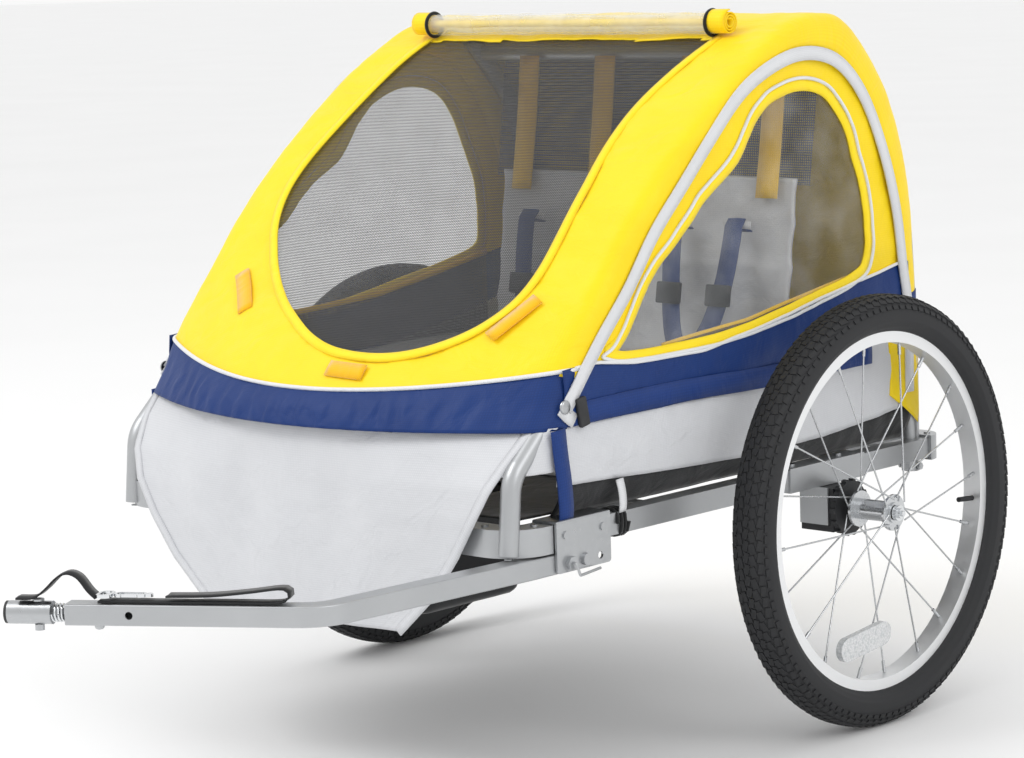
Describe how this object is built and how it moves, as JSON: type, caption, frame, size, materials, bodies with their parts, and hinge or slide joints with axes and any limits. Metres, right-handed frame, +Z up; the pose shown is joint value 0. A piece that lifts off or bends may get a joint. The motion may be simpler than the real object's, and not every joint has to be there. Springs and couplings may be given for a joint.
{
  "type": "child bicycle trailer",
  "caption": "Two-seat child bicycle trailer with a fabric cabin on a tube frame, spoked wheels and a folding tow arm.",
  "frame": {"origin": "centre of the whole object's footprint, on the ground", "axes": "+Z up, -Y forward towards the hitch, +X towards the vehicle's left, where the tow arm is"},
  "size_m": [0.846, 1.2256, 0.8289],
  "materials": {
    "silver_paint": "satin silver powder coat",
    "zinc_steel": "zinc plated",
    "chrome": "polished",
    "alloy": "machined",
    "black_plastic": "moulded, matt",
    "tyre": "matt rubber tread",
    "rubber": "matt",
    "reflector": "clear prismatic",
    "yellow_nylon": "coated nylon",
    "grey_nylon": "coated nylon",
    "navy_nylon": "coated nylon",
    "black_nylon": "coated nylon",
    "navy_mesh": "open mesh",
    "clear_vinyl": "flexible clear sheet",
    "navy_webbing": "woven webbing",
    "black_webbing": "woven webbing"
  },
  "bodies": {
    "chassis": {"front_frame_tube": "silver_paint", "rear_frame_tube": "silver_paint", "left_side_rail": "silver_paint", "right_side_rail": "silver_paint", "floor_cross_bars": "silver_paint", "left_arch_tube": "silver_paint", "right_arch_tube": "silver_paint", "top_cross_bar": "silver_paint", "axle_brackets": "silver_paint", "tow_bracket": "silver_paint", "arch_foot_bolts": "zinc_steel", "frame_screws": "zinc_steel", "arm_pivot_bolt": "zinc_steel", "wheel_axles": "zinc_steel", "axle_blocks": "black_plastic", "hub_guards": "black_plastic", "harness_buckles": "black_plastic", "rail_bungee": "rubber", "canopy_roof": "yellow_nylon", "front_panel": "yellow_nylon", "front_skirt": "grey_nylon", "seat_back": "grey_nylon", "seat_base": "grey_nylon", "left_side_panel": "grey_nylon", "right_side_panel": "grey_nylon", "footwell": "black_nylon", "floor_sling": "black_nylon", "front_mesh": "navy_mesh", "side_windows": "clear_vinyl", "rain_cover_roll": "clear_vinyl", "harness_webbing": "navy_webbing"},
    "left_wheel": {"left_tyre": "tyre", "left_inner_tube": "rubber", "left_rim": "alloy", "left_hub": "chrome", "left_spokes": "zinc_steel", "left_reflector": "reflector"},
    "right_wheel": {"right_tyre": "tyre", "right_inner_tube": "rubber", "right_rim": "alloy", "right_hub": "chrome", "right_spokes": "zinc_steel", "right_reflector": "reflector"},
    "left_button": {"left_axle_button": "black_plastic"},
    "right_button": {"right_axle_button": "black_plastic"},
    "tow_arm": {"tow_arm_tube": "silver_paint", "arm_end_plug": "black_plastic", "arm_bolts": "zinc_steel", "safety_strap": "black_webbing", "safety_strap_front": "black_webbing", "strap_d_ring": "chrome", "snap_hook": "chrome", "hitch_spring": "zinc_steel"},
    "snap_gate": {"snap_hook_gate": "chrome"},
    "hitch_joint": {"hitch_core": "zinc_steel"},
    "hitch": {"hitch_tube": "silver_paint", "hitch_end_bush": "rubber", "hitch_pin": "zinc_steel"},
    "lock_pin": {"arm_lock_pin": "zinc_steel"}
  },
  "joints": [
    {"name": "left_wheel_spin", "type": "hinge", "parent": "chassis", "child": "left_wheel", "pos_m": [0, 0.36285, 0.25], "axis": [1, 0, 0], "continuous": true},
    {"name": "right_wheel_spin", "type": "hinge", "parent": "chassis", "child": "right_wheel", "pos_m": [0, 0.36285, 0.25], "axis": [1, 0, 0], "continuous": true},
    {"name": "left_axle_button_press", "type": "slide", "parent": "chassis", "child": "left_button", "axis": [-1, 0, 0], "range_m": [0, 0.0024], "stiffness_N_per_m": 600, "springref_m": -0.001},
    {"name": "right_axle_button_press", "type": "slide", "parent": "chassis", "child": "right_button", "axis": [1, 0, 0], "range_m": [0, 0.0024], "stiffness_N_per_m": 600, "springref_m": -0.001},
    {"name": "tow_arm_fold", "type": "hinge", "parent": "chassis", "child": "tow_arm", "pos_m": [0.3045, -0.07515, 0.2602], "axis": [1, 0, 0], "range_deg": [0, 180]},
    {"name": "arm_lock_pin_pull", "type": "slide", "parent": "chassis", "child": "lock_pin", "axis": [1, 0, 0], "range_m": [0, 0.045]},
    {"name": "hitch_swing", "type": "hinge", "parent": "tow_arm", "child": "hitch_joint", "pos_m": [0.05665, -0.57357, 0.2602], "axis": [0, 0, 1], "range_deg": [-30, 30], "stiffness_Nm_per_rad": 60, "deforming": ["hitch_spring", "safety_strap_front"]},
    {"name": "hitch_tilt", "type": "hinge", "parent": "hitch_joint", "child": "hitch", "pos_m": [0.05665, -0.57357, 0.2602], "axis": [0.5157, -0.8568, 0], "range_deg": [-25, 25], "stiffness_Nm_per_rad": 60, "deforming": ["hitch_spring", "safety_strap_front"]},
    {"name": "snap_gate_open", "type": "hinge", "parent": "tow_arm", "child": "snap_gate", "pos_m": [0.12907, -0.53605, 0.27895], "axis": [0, 0, -1], "range_deg": [0, 20], "stiffness_Nm_per_rad": 0.05, "springref_deg": -5.73}
  ]
}
